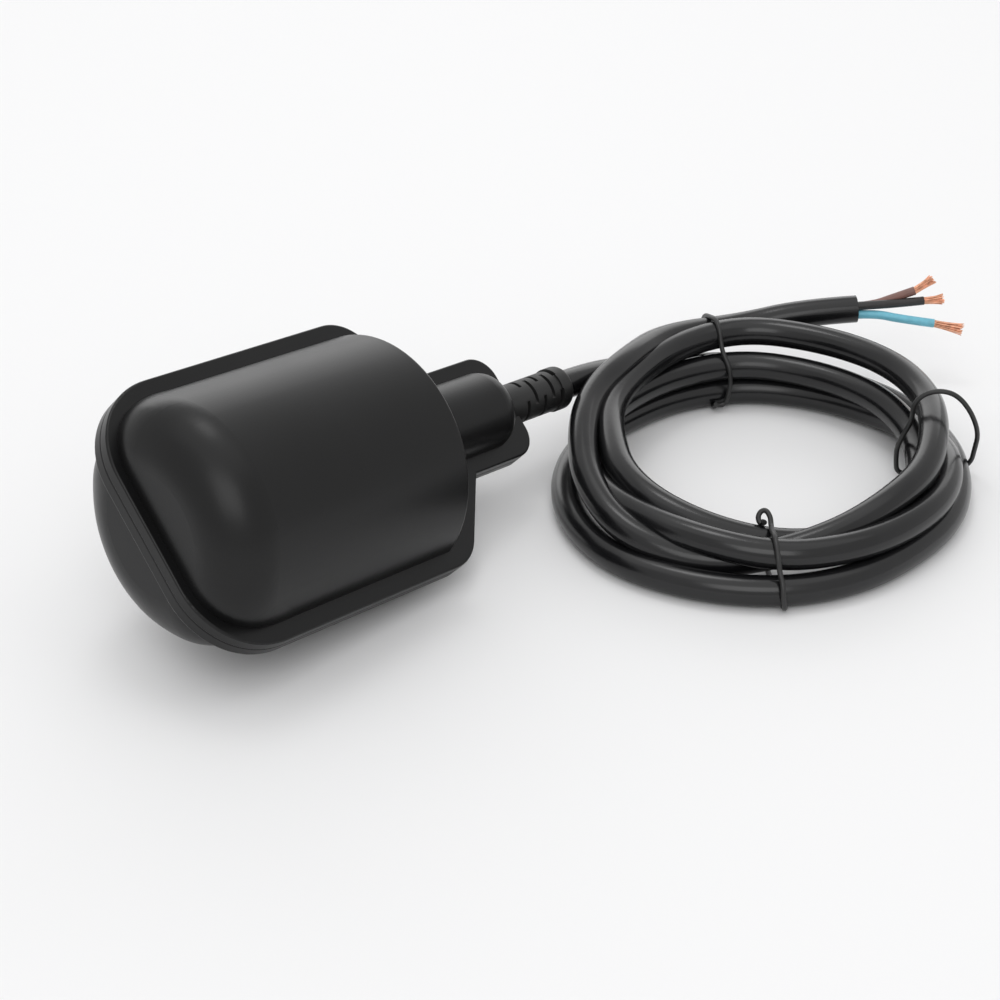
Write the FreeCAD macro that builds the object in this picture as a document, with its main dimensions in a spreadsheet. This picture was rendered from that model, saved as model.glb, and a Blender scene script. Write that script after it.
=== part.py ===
import FreeCAD, Part

import math
import os

import Sketcher
from FreeCAD import Placement, Rotation, Vector

# Float level switch: a hollow float of two welded shells with a ball-operated
# microswitch inside, on a coiled three-core cord. Millimetres. The floor is z = 0.
# Pieces of the float are drawn in the float's own frame: x runs from the far end to
# the neck, z = 0 is the plane where the two shells meet. They are then laid down as
# the float rests: nose a little down and rolled on its round belly.

SIZES = [
    # the pose at rest
    ("rest_roll", 42.6, "degrees that the float is rolled on its belly"),
    ("rest_pitch", 6.3, "degrees that the neck points down"),
    ("rest_x", -63.5, "far end of the parting plane, along the floor"),
    ("rest_y", 0.0, "far end of the parting plane, across the floor"),
    # the two shells
    ("flange_half", 31.2, "half width over the flanges"),
    ("flange_thick", 2.9, "thickness of each flange"),
    ("flange_lip", 4.0, "flange outside the vault, at the sides"),
    ("flange_far_lip", 2.2, "flange outside the vault, at the far end"),
    ("flange_edge", 0.5, "rounding of the flange's outer edge"),
    ("seam_edge", 0.3, "rounding of the flange's edge at the weld"),
    ("far_round", 18.0, "corner radius of the flange, far end"),
    ("shoulder_start", 74.0, "where the flange begins to narrow"),
    ("shoulder_round", 10.0, "corner radius at the shoulder"),
    ("neck_start", 88.0, "where the flange reaches the neck's width"),
    ("neck_half", 13.0, "half width over the neck's flanges"),
    ("neck_tip", 109.2, "end of the neck's flanges"),
    ("neck_round", 6.0, "corner radius at the neck's tip"),
    ("vault_bulge", 0.8235, "height of the vault over its flange, to its half width"),
    ("vault_end", 69.5, "flat end of the vault, towards the neck"),
    ("vault_round", 12.0, "rounding of the vault's far end"),
    ("rim_round", 0.9, "rounding of the vault's end rim"),
    ("wall", 2.2, "wall of the vault"),
    ("barrel_half", 9.2, "half width of the neck's barrel"),
    ("barrel_rise", 9.0, "height of the neck's barrel over its flange"),
    ("barrel_end", 103.5, "end face of the neck's barrel"),
    ("barrel_round", 5.0, "rounding of the barrel's end"),
    ("neck_room", 7.5, "radius of the room inside the neck"),
    ("neck_wall", 2.2, "end wall of the neck"),
    ("boss_radius", 3.2, "radius of the screw bosses in the lower shell"),
    ("boss_drop", 0.6, "top of the bosses below the parting plane"),
    # cord and its way in
    ("cord_radius", 3.5, "outer radius of the sheath"),
    ("cord_stub", 0.5, "sheath past the clamp's inner face"),
    ("boot_radius", 4.9, "radius of the strain relief"),
    ("boot_end", 128.6, "outer end of the strain relief"),
    ("lead_straight", 11.0, "straight run of the cord out of the boot"),
    ("boot_root", 3.8, "length of the boot's root flange in the neck"),
    ("collar_length", 4.2, "length of the boot's end collar"),
    ("collar_radius", 5.25, "radius of the boot's end collar"),
    ("collar_round", 1.3, "rounding of the collar's end"),
    ("slot_first", 112.5, "first ring of slots in the boot"),
    ("slot_pitch", 2.93, "from one ring of slots to the next"),
    ("slot_width", 1.0, "width of a slot"),
    ("slot_depth", 0.9, "depth of a slot"),
    ("slot_rib_even", 3.8, "width left solid between the slots of every first ring"),
    ("slot_rib_odd", 7.2, "width left solid between the slots of every second ring"),
    ("slot_rings", 5, "rings of slots in the boot"),
    ("slot_turn_even", -91.0, "degrees that every first ring of slots is turned"),
    ("slot_turn_odd", -4.0, "degrees that every second ring of slots is turned"),
    ("seal_length", 11.0, "length of the neck's rubber seal"),
    ("clamp_start", 61.5, "inner face of the cord clamp"),
    ("clamp_length", 5.4, "length of the cord clamp along the cord"),
    ("clamp_half", 11.5, "half width of the cord clamp"),
    ("clamp_top", 6.0, "top of the cord clamp"),
    ("clamp_gap", 0.3, "gap between the clamp and its pedestal"),
    ("clamp_screw", 8.0, "distance of each clamp screw from the cord's axis"),
    ("screw_radius", 1.4, "shank radius of the self-tapping screws"),
    ("screw_fit", 0.2, "clearance of a screw in the piece that it holds"),
    ("screw_head", 2.6, "head radius of the screws"),
    ("screw_head_tall", 1.8, "height of a screw head"),
    ("screw_long", 9.0, "length of a screw shank"),
    # carrier of the switch and the ball's channel
    ("ball_radius", 6.35, "steel ball"),
    ("ball_travel", 14.0, "way of the ball in its channel"),
    ("ball_gap", 0.1, "clearance of the ball at the walls and ends"),
    ("carrier_gap", 3.05, "from the shell's far wall to the ball's channel"),
    ("running_gap", 0.03, "gap left between moving pieces that touch"),
    ("rail_top", 3.0, "top of the channel's floor"),
    ("floor_thick", 2.0, "thickness of the channel's floor and arms"),
    ("channel_wall", 1.6, "wall of the ball's channel"),
    ("slot_half", 2.5, "half width of the lever's slot in the floor"),
    ("slot_rise", 2.2, "height of the lever's opening over the floor"),
    ("lid_thick", 1.6, "lid over the ball"),
    ("post_radius", 2.4, "posts that the lid is screwed to"),
    ("post_inset", 5.0, "posts from the channel's ends"),
    ("post_overlap", 0.64, "posts into the channel's wall"),
    ("lid_screw_radius", 0.9, "shank radius of the lid's screws"),
    ("lid_screw_head", 1.7, "head radius of the lid's screws"),
    ("lid_screw_long", 6.0, "shank length of the lid's screws"),
    ("arm_far_in", 9.95, "middle of the far carrier arm from the channel's far end"),
    ("arm_near_in", 2.55, "middle of the near carrier arm from the channel's near end"),
    ("arm_length", 8.0, "length along the float of each carrier arm"),
    ("arm_gap", 2.9, "from the ends of the carrier arms to the shell's wall"),
    ("arm_screw_in", 3.5, "arm screws from the ends of the arms"),
    ("cheek_thick", 2.0, "plate that the microswitch is screwed to"),
    # microswitch
    ("case_back", 2.0, "end of the microswitch behind the ball at the neck end"),
    ("lead_room", 6.2, "from the microswitch to the end of the sheath"),
    ("case_half", 5.15, "half thickness of the microswitch"),
    ("foot_gap", 8.2, "from the microswitch's foot to the shell's crown"),
    ("case_wall", 1.5, "wall of the microswitch case"),
    ("case_lid", 1.2, "cover of the microswitch"),
    ("foot_thick", 4.8, "foot of the microswitch case under its room"),
    ("case_screw_in", 2.6, "microswitch holes from its ends"),
    ("case_screw_up", 2.7, "microswitch holes from its foot"),
    ("case_screw_radius", 1.1, "shank radius of the microswitch screws"),
    ("case_screw_head", 2.1, "head radius of the microswitch screws"),
    ("pin_in", 3.8, "lever pin from the near end of the microswitch"),
    ("pin_up", 1.15, "lever pin over the case"),
    ("pin_radius", 0.5, "radius of the lever pin"),
    ("pin_fit", 0.05, "clearance of the lever's eye on its pin"),
    ("ear_thick", 1.2, "ears that hold the lever pin"),
    ("lever_half", 2.1, "half width of the lever"),
    ("lever_thick", 0.4, "sheet of the lever"),
    ("crest_flat", 0.2, "flat on the lever's crest"),
    ("lever_slope", 17.5, "degrees that the lever's ramp falls at rest"),
    ("tip_short", 0.3, "tip of the lever short of the ball at the far end"),
    ("crest_ahead", 2.2, "crest of the lever past the ball at the neck end"),
    ("fold_ahead", 3.7, "fold of the lever past the ball at the neck end"),
    ("plunger_in", 8.0, "plunger from the far end of the microswitch"),
    ("plunger_radius", 1.25, "radius of the plunger"),
    ("plunger_fit", 0.05, "clearance of the plunger in the case"),
    ("plunger_head", 1.7, "radius of the plunger's retaining head"),
    ("plunger_travel", 1.75, "way of the plunger"),
    ("strip_thick", 0.8, "thickness of the contact strips"),
    ("strip_half", 2.4, "half width of the contact strips"),
    ("strip_foot", 6.2, "length of the terminals below the case"),
    ("terminal_in", 7.1, "first terminal from the far end of the microswitch"),
    ("terminal_pitch", 6.6, "from one terminal to the next"),
    ("contact_in", 4.9, "contacts from the far end of the microswitch"),
    ("contact_radius", 1.3, "radius of the silver contacts"),
    ("contact_thick", 0.7, "height of a silver contact"),
    ("contact_gap", 0.7, "way of the moving contact"),
    ("blade_thick", 0.3, "sheet of the moving blade"),
    ("blade_half", 1.9, "half width of the moving blade"),
    ("blade_drop", 5.6, "middle of the moving blade below the case's top"),
    # inner leads
    ("core_radius", 1.0, "radius of an insulated core"),
    ("lead_turn", 2.4, "straight run of a lead out of its crimp"),
    ("crimp_radius", 1.6, "barrel of a push-on terminal"),
    ("crimp_drop", 3.4, "barrel below the microswitch case"),
    ("crimp_length", 6.0, "length of a push-on terminal's barrel"),
    # the coil on the floor, its ties and the bare end
    ("coil_x", 82.2, "middle of the coil, along the float"),
    ("coil_y", -48.0, "middle of the coil, across the float"),
    ("coil_long", 52.6, "outer half length of the coil"),
    ("coil_short", 46.7, "outer half width of the coil"),
    ("coil_width", 18.8, "width of the bundle of turns"),
    ("coil_tall", 20.5, "height of the coil"),
    ("coil_round", 8.6, "rounding of the coil's edges"),
    ("tie_radius", 0.6, "radius of a tie"),
    ("tie_knot", 1.4, "radius of a tie's twisted knot"),
    ("strand_root", 0.75, "radius of a core's bare strands at the insulation"),
    ("strand_tip", 1.25, "radius of the strands at their splayed tip"),
]

doc = FreeCAD.newDocument("float_switch")
sheet = doc.addObject("Spreadsheet::Sheet", "Sizes")
for row, (alias, value, note) in enumerate(SIZES, start=1):
    sheet.set(f"A{row}", alias)
    sheet.set(f"B{row}", str(value))
    sheet.setAlias(f"B{row}", alias)
    sheet.set(f"C{row}", note)
doc.recompute()


class Size:
    """A number and the sheet expression that it comes from."""

    def __init__(self, value, text):
        self.value = value
        self.text = text

    def join(self, sign, other, swap=False):
        other = as_size(other)
        first, second = (other, self) if swap else (self, other)
        results = {
            "+": first.value + second.value,
            "-": first.value - second.value,
            "*": first.value * second.value,
            "/": first.value / second.value if second.value else 0.0,
        }
        return Size(results[sign], f"({first.text} {sign} {second.text})")

    def __add__(self, other):
        return self.join("+", other)

    def __radd__(self, other):
        return self.join("+", other, swap=True)

    def __sub__(self, other):
        return self.join("-", other)

    def __rsub__(self, other):
        return self.join("-", other, swap=True)

    def __mul__(self, other):
        return self.join("*", other)

    def __rmul__(self, other):
        return self.join("*", other, swap=True)

    def __truediv__(self, other):
        return self.join("/", other)

    def __neg__(self):
        return Size(-self.value, f"(-1 * {self.text})")


def as_size(number):
    if isinstance(number, Size):
        return number
    return Size(float(number), f"{number}")


def root(size):
    return Size(math.sqrt(size.value), f"sqrt({size.text})")


class Named:
    """Gives each cell of the sheet as a Size, by its alias."""

    def __getattr__(self, alias):
        return Size(float(sheet.get(alias)), f"Sizes.{alias}")


z = Named()
ZERO = as_size(0)


def cosine(degrees):
    return Size(math.cos(math.radians(degrees.value)), f"cos({degrees.text} * 1 deg)")


def tangent(degrees):
    return Size(math.tan(math.radians(degrees.value)), f"tan({degrees.text} * 1 deg)")


# The vault is part of a cylinder; its axis lies a little past the parting plane.
VAULT_HALF = z.flange_half - z.flange_lip
VAULT_RISE = VAULT_HALF * z.vault_bulge
VAULT_ARC = (VAULT_HALF * VAULT_HALF + VAULT_RISE * VAULT_RISE) / (2 * VAULT_RISE)
VAULT_AXIS = z.flange_thick + VAULT_RISE - VAULT_ARC
CROWN_INSIDE = z.flange_thick + VAULT_RISE - z.wall


def resting_place():
    """The float lies on the low end of its belly, which touches the floor."""
    roll = Rotation(Vector(1, 0, 0), z.rest_roll.value)
    pitch = Rotation(Vector(0, 1, 0), z.rest_pitch.value)
    turned = pitch * roll
    low_end = z.vault_end.value - z.rim_round.value
    axis_there = turned.multVec(Vector(low_end, 0, -VAULT_AXIS.value))
    edge = z.rim_round.value
    belly = edge + (VAULT_ARC.value - edge) * math.cos(math.radians(z.rest_pitch.value))
    place = Vector(z.rest_x.value, z.rest_y.value, belly - axis_there.z)
    return Placement(place, turned)


REST = resting_place()
pieces = {}


def keep(node, shape_object, placement=REST):
    """Names a finished sub-part and puts it where it rests."""
    shape_object.Label = node
    shape_object.Placement = placement
    pieces[node] = shape_object
    return shape_object


# ---------------------------------------------------------------- drawing tools

def box(name, low, high):
    solid = doc.addObject("Part::Box", name)
    for side, start, end in zip(("Length", "Width", "Height"), low, high):
        solid.setExpression(side, (as_size(end) - start).text)
    for axis, start in zip("xyz", low):
        solid.setExpression(f"Placement.Base.{axis}", as_size(start).text)
    return solid


TURNS = {
    "x": Rotation(Vector(0, 1, 0), 90),
    "y": Rotation(Vector(1, 0, 0), -90),
    "z": Rotation(),
}


def rod(name, start, radius, length, along="z"):
    solid = doc.addObject("Part::Cylinder", name)
    solid.Placement = Placement(Vector(), TURNS[along])
    solid.setExpression("Radius", as_size(radius).text)
    solid.setExpression("Height", as_size(length).text)
    for axis, place in zip("xyz", start):
        solid.setExpression(f"Placement.Base.{axis}", as_size(place).text)
    return solid


def fuse(name, *solids):
    result = doc.addObject("Part::MultiFuse", name)
    result.Shapes = list(solids)
    result.Refine = True
    return result


def cut(name, base, *tools):
    result = doc.addObject("Part::Cut", name)
    result.Base = base
    result.Tool = tools[0] if len(tools) == 1 else fuse(f"{name}_tools", *tools)
    return result


def group(name, *solids):
    result = doc.addObject("Part::Compound", name)
    result.Links = list(solids)
    return result


def new_body(name):
    return doc.addObject("PartDesign::Body", name)


def new_sketch(body, name, plane, level=None):
    sketch = body.newObject("Sketcher::SketchObject", name)
    support = [item for item in body.Origin.OriginFeatures if item.Role == plane]
    sketch.AttachmentSupport = (support[0], [""])
    sketch.MapMode = "FlatFace"
    if level is not None:
        sketch.setExpression("AttachmentOffset.Base.z", level.text)
    return sketch


def pin_corner(sketch, edge, end, corner):
    """Ties one corner of a sketch to the sheet; zero means on the axis."""
    for kind, axis, size in zip(("DistanceX", "DistanceY"), (-2, -1), corner):
        size = as_size(size)
        if size.value == 0:
            sketch.addConstraint(Sketcher.Constraint("PointOnObject", edge, end, axis))
            continue
        tie = Sketcher.Constraint(kind, -1, 1, edge, end, size.value)
        index = sketch.addConstraint(tie)
        sketch.setExpression(f"Constraints[{index}]", size.text)


def arc_between(start, end, radius):
    """The short arc from start to end; a positive radius turns left."""
    chord = end - start
    middle = (start + end) * 0.5
    left = Vector(-chord.y, chord.x, 0).normalize()
    reach = math.sqrt(max(radius ** 2 - (chord.Length / 2) ** 2, 0))
    centre = middle + left * math.copysign(reach, radius)
    first, last = (start, end) if radius > 0 else (end, start)
    angles = [math.atan2(p.y - centre.y, p.x - centre.x) for p in (first, last)]
    circle = Part.Circle(centre, Vector(0, 0, 1), abs(radius))
    return Part.ArcOfCircle(circle, angles[0], angles[1])


def outline(sketch, corners, radii=None):
    """A closed loop through the corners. radii gives a side its arc radius."""
    radii = radii or {}
    points = [Vector(as_size(x).value, as_size(y).value, 0) for x, y in corners]
    ends = []
    for side, start in enumerate(points):
        end = points[(side + 1) % len(points)]
        if side in radii:
            edge = sketch.addGeometry(arc_between(start, end, radii[side].value))
            ends.append((edge, 1, 2) if radii[side].value > 0 else (edge, 2, 1))
        else:
            edge = sketch.addGeometry(Part.LineSegment(start, end))
            ends.append((edge, 1, 2))
    for side, (edge, _, last) in enumerate(ends):
        after, first, _ = ends[(side + 1) % len(ends)]
        sketch.addConstraint(Sketcher.Constraint("Coincident", edge, last, after, first))
    for (edge, first, _), corner in zip(ends, corners):
        pin_corner(sketch, edge, first, corner)
    for side, radius in radii.items():
        tie = Sketcher.Constraint("Radius", ends[side][0], abs(radius.value))
        index = sketch.addConstraint(tie)
        size = radius if radius.value > 0 else -radius
        sketch.setExpression(f"Constraints[{index}]", size.text)


def pad(body, sketch, length, symmetric=False, reverse=False):
    feature = body.newObject("PartDesign::Pad", f"{sketch.Name}_pad")
    feature.Profile = sketch
    feature.setExpression("Length", as_size(length).text)
    feature.Midplane = symmetric
    feature.Reversed = reverse
    sketch.Visibility = False
    doc.recompute()
    return feature


def pocket(body, sketch, length, reverse=False):
    before = body.Shape.Volume
    feature = body.newObject("PartDesign::Pocket", f"{sketch.Name}_pocket")
    feature.Profile = sketch
    feature.setExpression("Length", as_size(length).text)
    feature.Reversed = reverse
    doc.recompute()
    if body.Shape.Volume >= before:
        raise RuntimeError(f"{feature.Name} cuts nothing")
    return feature


def round_edges(body, base, name, radius, chosen):
    """Fillets the edges of base for which chosen(edge) is true."""
    doc.recompute()
    numbered = enumerate(base.Shape.Edges, start=1)
    names = [f"Edge{number}" for number, edge in numbered if chosen(edge)]
    if not names:
        raise RuntimeError(f"{name} finds no edge")
    feature = body.newObject("PartDesign::Fillet", name)
    feature.Base = (base, names)
    feature.setExpression("Radius", as_size(radius).text)
    doc.recompute()
    return feature


SAME = 0.01  # two levels closer than this are one
NEAR = 0.05  # an edge closer than this to a place stands at it


def upright_at(x, y):
    """Chooses upright edges that stand at x and at plus or minus y."""
    def chosen(edge):
        bounds = edge.BoundBox
        upright = bounds.XLength + bounds.YLength < SAME < bounds.ZLength
        near_x = abs(bounds.Center.x - x.value) < NEAR
        return upright and near_x and abs(abs(bounds.Center.y) - y.value) < NEAR
    return chosen


def level_at(level):
    """Chooses edges that lie flat at one level."""
    def chosen(edge):
        bounds = edge.BoundBox
        return bounds.ZLength < SAME and abs(bounds.ZMax - level.value) < SAME
    return chosen


# ------------------------------------------------------------------- the shells

def vault_shape(body, name, start, half, end, base, rise, far_corner, far_rim):
    """A barrel vault over base with a flat neck end and a rounded far end."""
    plan = new_sketch(body, f"{name}_plan", "XY_Plane", base)
    outline(plan,
            [(start + far_corner, -half), (end, -half), (end, half),
             (start + far_corner, half), (start, half - far_corner),
             (start, far_corner - half)],
            {3: far_corner, 5: far_corner})
    pad(body, plan, rise + 1)
    arc = (half * half + rise * rise) / (2 * rise)
    arch = new_sketch(body, f"{name}_arch", "YZ_Plane", start - 1)
    side = half + 1
    top = base + rise + 2
    outline(arch,
            [(half, base), (side, base), (side, top),
             (-side, top), (-side, base), (-half, base)],
            {5: -arc})
    shaped = pocket(body, arch, end - start + 2, reverse=True)
    lowest = base.value + 0.5 * rise.value

    def on_far_rim(edge):
        bounds = edge.BoundBox
        beyond = start.value + far_corner.value + NEAR
        leans = bounds.XLength > SAME or bounds.YLength > SAME
        return bounds.XMax < beyond and bounds.ZMax > lowest and leans

    return round_edges(body, shaped, f"{name}_far_rim", far_rim, on_far_rim)


def barrel_shape(body, name, start, end, half, base, rise):
    arc = (half * half + rise * rise) / (2 * rise)
    arch = new_sketch(body, f"{name}_arch", "YZ_Plane", start)
    outline(arch, [(-half, base), (half, base)], {1: arc})
    return pad(body, arch, end - start)


def shell_outside(name):
    """Flange, vault and half neck of one shell, solid, standing on z = 0."""
    body = new_body(name)
    corners = [
        (ZERO, -z.flange_half), (z.shoulder_start, -z.flange_half),
        (z.neck_start, -z.neck_half), (z.neck_tip, -z.neck_half),
        (z.neck_tip, z.neck_half), (z.neck_start, z.neck_half),
        (z.shoulder_start, z.flange_half), (ZERO, z.flange_half),
    ]
    rim = new_sketch(body, f"{name}_rim", "XY_Plane")
    outline(rim, corners)
    flange = pad(body, rim, z.flange_thick)
    for label, x, y, radius in (
            ("far", ZERO, z.flange_half, z.far_round),
            ("shoulder", z.shoulder_start, z.flange_half, z.shoulder_round),
            ("tip", z.neck_tip, z.neck_half, z.neck_round)):
        flange = round_edges(body, flange, f"{name}_{label}_round", radius,
                             upright_at(x, y))
    for label, level, radius in (("outer", z.flange_thick, z.flange_edge),
                                 ("seam", ZERO, z.seam_edge)):
        flange = round_edges(body, flange, f"{name}_{label}_edge", radius,
                             level_at(level))
    vault_shape(body, f"{name}_vault", z.flange_far_lip, VAULT_HALF,
                z.vault_end, z.flange_thick, VAULT_RISE,
                z.far_round - z.flange_lip, z.vault_round)
    neck = barrel_shape(body, f"{name}_neck", z.vault_end - 1, z.barrel_end,
                        z.barrel_half, z.flange_thick, z.barrel_rise)
    over_flange = z.flange_thick.value + NEAR

    def rim_at(end):
        def chosen(edge):
            bounds = edge.BoundBox
            curved = bounds.YLength > 2 and bounds.ZMax > over_flange
            return curved and bounds.XLength < SAME and (
                abs(bounds.XMax - end.value) < SAME)
        return chosen

    vault = round_edges(body, neck, f"{name}_vault_rim", z.rim_round,
                        rim_at(z.vault_end))
    round_edges(body, vault, f"{name}_barrel_rim", z.barrel_round,
                rim_at(z.barrel_end))
    return body


def shell_inside(name):
    """The room inside one vault."""
    body = new_body(name)
    widest = root(INNER_ARC * INNER_ARC - VAULT_AXIS * VAULT_AXIS)
    corner = z.far_round - z.flange_lip - z.wall
    vault_shape(body, f"{name}_vault", z.flange_far_lip + z.wall, widest,
                z.vault_end - z.wall, ZERO, CROWN_INSIDE, corner,
                z.vault_round - z.wall)
    return body


def shell_hollow(name, *keep_solid):
    """One shell as it comes from the mould; keep_solid stays in its room."""
    room = shell_inside(f"{name}_inside")
    if keep_solid:
        room = cut(f"{name}_room", room, *keep_solid)
    start = z.vault_end - z.wall - 1
    neck = rod(f"{name}_neck_room", (start, 0, 0), z.neck_room,
               z.barrel_end - z.neck_wall - start, "x")
    out = z.barrel_end - z.neck_wall - 1
    way_out = rod(f"{name}_way_out", (out, 0, 0), z.boot_radius,
                  z.neck_tip + 1 - out, "x")
    return cut(f"{name}_hollow", shell_outside(f"{name}_outside"), room, neck, way_out)


# The ball's channel starts just inside the shell's far wall, and the switch follows.
CHANNEL_START = z.flange_far_lip + z.wall + z.carrier_gap
ROOM_START = CHANNEL_START + z.channel_wall
BALL_FAR = ROOM_START + z.ball_gap + z.ball_radius
BALL_NEAR = BALL_FAR + z.ball_travel
ROOM_END = BALL_NEAR + z.ball_radius + z.ball_gap
CHANNEL_END = ROOM_END + z.channel_wall
INNER_ARC = VAULT_ARC - z.wall
ARM_OVER_AXIS = z.rail_top - VAULT_AXIS
ARM_HALF = root(INNER_ARC * INNER_ARC - ARM_OVER_AXIS * ARM_OVER_AXIS) - z.arm_gap
ARM_FAR = CHANNEL_START + z.arm_far_in + z.channel_wall
ARM_NEAR = CHANNEL_END - z.arm_near_in - z.channel_wall
ARM_SCREW = ARM_HALF - z.arm_screw_in
ARM_SPOTS = [(ARM_FAR, -ARM_SCREW), (ARM_FAR, ARM_SCREW),
             (ARM_NEAR, -ARM_SCREW), (ARM_NEAR, ARM_SCREW)]
CLAMP_MIDDLE = z.clamp_start + z.clamp_length / 2
CLAMP_SPOTS = [(CLAMP_MIDDLE, -z.clamp_screw), (CLAMP_MIDDLE, z.clamp_screw)]


def upper_shell():
    keep("upper_shell", shell_hollow("upper"))


def lower_shell():
    """Mirror of the upper one, with bosses for the carrier and the cord clamp."""
    deep = VAULT_RISE + z.flange_thick + 1
    bosses = [rod(f"boss_{number}", (x, y, z.boss_drop), z.boss_radius, deep)
              for number, (x, y) in enumerate(ARM_SPOTS)]
    pedestal = box("pedestal", (z.clamp_start, -z.clamp_half, z.clamp_gap / 2),
                   (z.clamp_start + z.clamp_length, z.clamp_half, deep))
    moulded = shell_hollow("lower", *bosses, pedestal)
    mirrored = doc.addObject("Part::Mirroring", "lower_mirrored")
    mirrored.Source = moulded
    mirrored.Normal = Vector(0, 0, 1)
    groove = rod("pedestal_groove", (z.clamp_start - 1, 0, 0), z.cord_radius,
                 z.clamp_length + 2, "x")
    depth = z.screw_long + 1
    arm_holes = [rod(f"boss_hole_{number}", (x, y, z.rail_top - depth),
                     z.screw_radius, depth)
                 for number, (x, y) in enumerate(ARM_SPOTS)]
    clamp_holes = [rod(f"pedestal_hole_{number}", (x, y, z.clamp_top - depth),
                       z.screw_radius, depth)
                   for number, (x, y) in enumerate(CLAMP_SPOTS)]
    keep("lower_shell", cut("lower", mirrored, groove, *arm_holes, *clamp_holes))


# --------------------------------------------------------- the cord's way in

BOOT_SEAT = z.barrel_end - z.neck_wall


def boot_slots(number):
    """A ring of two slots, cut across; every other ring is turned."""
    start = z.slot_first + number * z.slot_pitch - z.slot_width / 2
    reach = z.boot_radius + 1
    ring = rod(f"slot_ring_{number}", (start, 0, 0), reach, z.slot_width, "x")
    core = rod(f"slot_core_{number}", (start - 1, 0, 0),
               z.boot_radius - z.slot_depth, z.slot_width + 2, "x")
    rib = z.slot_rib_odd if number % 2 else z.slot_rib_even
    ribs = box(f"slot_ribs_{number}", (start - 1, -reach, -rib / 2),
               (start + z.slot_width + 1, reach, rib / 2))
    turned = group(f"slot_turned_{number}", cut(f"slot_pair_{number}", ring, core, ribs))
    degrees = z.slot_turn_odd if number % 2 else z.slot_turn_even
    turned.Placement = Placement(Vector(), Rotation(Vector(1, 0, 0), degrees.value))
    return turned


def cable_boot():
    """Rubber strain relief, held behind the neck's end wall by its root flange."""
    body = new_body("boot_body")
    profile = new_sketch(body, "boot_profile", "XZ_Plane")
    seat = BOOT_SEAT - z.boot_root
    collar = z.boot_end - z.collar_length
    rounded = z.boot_end - z.collar_round
    outline(profile,
            [(seat, z.cord_radius), (z.boot_end, z.cord_radius),
             (z.boot_end, z.collar_radius - z.collar_round),
             (rounded, z.collar_radius), (collar, z.collar_radius),
             (collar, z.boot_radius), (BOOT_SEAT, z.boot_radius),
             (BOOT_SEAT, z.neck_room), (seat, z.neck_room)],
            {2: z.collar_round})
    turning = body.newObject("PartDesign::Revolution", "boot_turning")
    turning.Profile = profile
    turning.ReferenceAxis = (profile, ["H_Axis"])
    turning.Angle = 360
    doc.recompute()
    slots = [boot_slots(number) for number in range(int(z.slot_rings.value))]
    keep("cable_boot", cut("boot", body, *slots))


def neck_seal():
    """Rubber sleeve that packs the neck behind the boot."""
    start = BOOT_SEAT - z.boot_root - z.seal_length
    sleeve = rod("seal_sleeve", (start, 0, 0), z.neck_room, z.seal_length, "x")
    bore = rod("seal_bore", (start - 1, 0, 0), z.cord_radius, z.seal_length + 2, "x")
    keep("neck_seal", cut("seal", sleeve, bore))


def cord_clamp():
    """Saddle that grips the sheath against the pedestal in the lower shell."""
    block = box("saddle_block", (z.clamp_start, -z.clamp_half, z.clamp_gap / 2),
                (z.clamp_start + z.clamp_length, z.clamp_half, z.clamp_top))
    groove = rod("saddle_groove", (z.clamp_start - 1, 0, 0), z.cord_radius,
                 z.clamp_length + 2, "x")
    holes = [rod(f"saddle_hole_{number}", (x, y, -1), z.screw_radius + z.screw_fit,
                 z.clamp_top + 2)
             for number, (x, y) in enumerate(CLAMP_SPOTS)]
    keep("cord_clamp", cut("saddle", block, groove, *holes))


def screws(node, spots, seat, shank, head, long, head_tall, along="z"):
    """A group of like screws; each spot is where a shank starts at its seat."""
    solids = []
    for number, (x, y) in enumerate(spots):
        name = f"{node}_{number}"
        down = seat - long
        place = (x, y, down) if along == "z" else (x, down, y)
        top = (x, y, seat) if along == "z" else (x, seat, y)
        solids.append(fuse(name, rod(f"{name}_shank", place, shank, long, along),
                           rod(f"{name}_head", top, head, head_tall, along)))
    keep(node, group(f"{node}_group", *solids))


def cord_root():
    """The sheath inside the float and the boot."""
    sheath = rod("sheath_root", (CORD_INNER_END, 0, 0), z.cord_radius,
                 z.boot_end - CORD_INNER_END, "x")
    keep("cord_root", group("cord_root_group", sheath))


# ------------------------------------------- the ball, its channel and the carrier

BALL_LEVEL = (z.rail_top + z.running_gap
              + root(z.ball_radius * z.ball_radius - z.slot_half * z.slot_half))
ROOM_HALF = z.ball_radius + z.ball_gap
CHANNEL_HALF = ROOM_HALF + z.channel_wall
LID_SEAT = BALL_LEVEL + z.ball_radius + z.ball_gap
CASE_TOP = z.rail_top - z.floor_thick
POST_ACROSS = CHANNEL_HALF + z.post_radius - z.post_overlap
POST_SPOTS = [(CHANNEL_START + z.post_inset, -POST_ACROSS),
              (CHANNEL_START + z.post_inset, POST_ACROSS),
              (CHANNEL_END - z.post_inset, -POST_ACROSS),
              (CHANNEL_END - z.post_inset, POST_ACROSS)]
CASE_START = BALL_NEAR - z.case_back
CORD_INNER_END = z.clamp_start - z.cord_stub
CASE_END = CORD_INNER_END - z.lead_room
CASE_FOOT = z.foot_gap - CROWN_INSIDE
CASE_HOLES = [(CASE_START + z.case_screw_in, CASE_FOOT + z.case_screw_up),
              (CASE_END - z.case_screw_in, CASE_FOOT + z.case_screw_up)]


def ball():
    sphere = doc.addObject("Part::Sphere", "ball_sphere")
    sphere.setExpression("Radius", z.ball_radius.text)
    sphere.setExpression("Placement.Base.x", BALL_NEAR.text)
    sphere.setExpression("Placement.Base.z", BALL_LEVEL.text)
    keep("ball", group("ball_group", sphere))


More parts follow.
